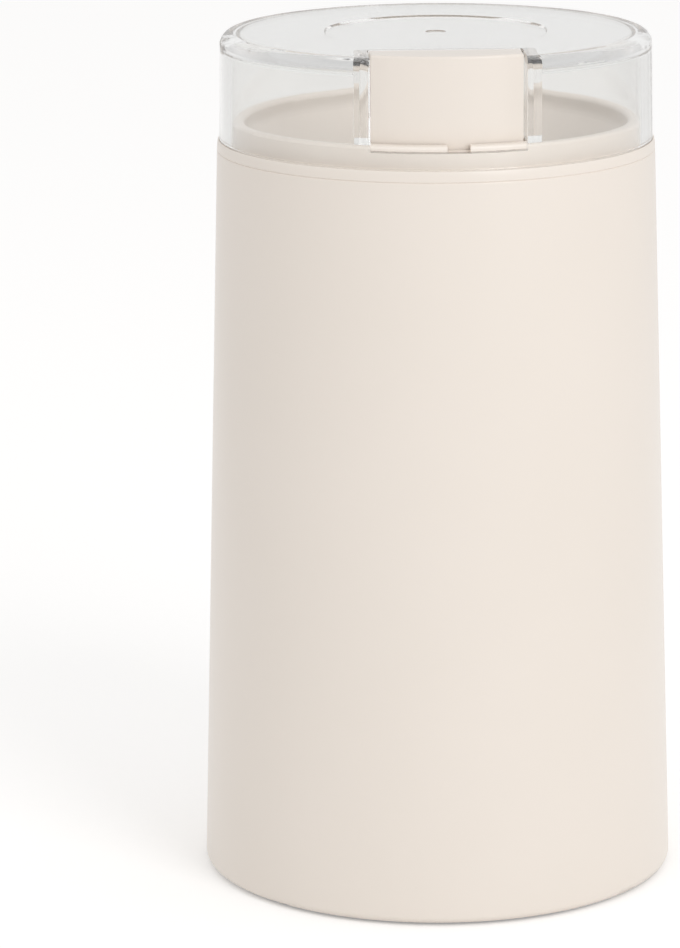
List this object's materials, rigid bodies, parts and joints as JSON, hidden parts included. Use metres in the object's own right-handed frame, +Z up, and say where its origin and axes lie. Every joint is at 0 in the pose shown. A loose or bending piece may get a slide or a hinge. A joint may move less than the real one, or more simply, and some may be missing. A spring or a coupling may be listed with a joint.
{
  "type": "electric spice grinder",
  "caption": "Free-standing blade grinder with a tapered round body, clear lift-off lid and a tall push button standing in a notch of the lid.",
  "frame": {"origin": "middle of the object's foot print, on the surface that it stands on", "axes": "+Z up along the body's axis, -Y towards the button, +Y towards the cord gland"},
  "size_m": [0.0939, 0.094, 0.1683],
  "materials": {
    "shell_plastic": "satin moulded ABS",
    "carrier_plastic": "fine matt moulded ABS",
    "button_plastic": "satin moulded ABS",
    "lid_plastic": "clear polished SAN",
    "bowl_steel": "spun and polished stainless steel",
    "blade_steel": "ground stainless steel",
    "shaft_steel": "turned steel",
    "bearing_steel": "polished bearing steel",
    "seal_rubber": "translucent silicone rubber",
    "black_rubber": "matt black rubber",
    "bracket_metal": "die-cast aluminium",
    "core_steel": "stacked electrical steel sheet",
    "winding_copper": "enamelled copper wire",
    "bar_copper": "turned copper bars",
    "fan_plastic": "black nylon",
    "switch_plastic": "black phenolic",
    "plunger_plastic": "red nylon",
    "contact_brass": "plain brass",
    "carbon": "pressed carbon",
    "spring_steel": "drawn spring wire",
    "screw_steel": "zinc-plated steel",
    "base_plastic": "fine matt moulded ABS",
    "lead_insulation": "grey PVC insulation"
  },
  "bodies": {
    "housing": {"base_plate": "base_plastic", "base_screws": "screw_steel", "bowl_carrier": "carrier_plastic", "bowl_seal": "seal_rubber", "bracket_dampers": "black_rubber", "bracket_screws": "screw_steel", "brush_holders": "contact_brass", "brush_springs": "spring_steel", "button_spring": "spring_steel", "carbon_brushes": "carbon", "carrier_screws": "screw_steel", "cord_gland": "black_rubber", "feet": "black_rubber", "field_coils": "winding_copper", "grinding_bowl": "bowl_steel", "leads": "lead_insulation", "lower_bearing": "bearing_steel", "lower_bridge": "bracket_metal", "micro_switch": "switch_plastic", "motor_bracket": "bracket_metal", "motor_screws": "screw_steel", "outer_shell": "shell_plastic", "shaft_seal": "black_rubber", "stator_core": "core_steel", "switch_screws": "screw_steel", "switch_terminals": "contact_brass", "thrust_washers": "screw_steel", "upper_bearing": "bearing_steel"},
    "lid": {"lid": "lid_plastic"},
    "button": {"button_cap": "button_plastic", "push_rod": "fan_plastic"},
    "plunger": {"switch_plunger": "plunger_plastic"},
    "rotor": {"motor_shaft": "shaft_steel", "blade": "blade_steel", "blade_nut": "blade_steel", "rotor_core": "core_steel", "rotor_windings": "winding_copper", "commutator": "bar_copper", "cooling_fan": "fan_plastic"}
  },
  "joints": [
    {"name": "lid_lift", "type": "slide", "parent": "housing", "child": "lid", "axis": [0, 0, 1], "range_m": [0, 0.06]},
    {"name": "button_press", "type": "slide", "parent": "housing", "child": "button", "axis": [0, 0, -1], "range_m": [0, 0.002], "stiffness_N_per_m": 600, "springref_m": -0.003, "deforming": ["button_spring"]},
    {"name": "switch_press", "type": "slide", "parent": "housing", "child": "plunger", "axis": [0, 0, -1], "range_m": [0, 0.002]},
    {"name": "rotor_spin", "type": "hinge", "parent": "housing", "child": "rotor", "pos_m": [0, 0, 0.06], "axis": [0, 0, 1], "continuous": true}
  ],
  "couplings": [
    {"joint": "switch_press", "follows": "button_press", "ratio": 1}
  ]
}
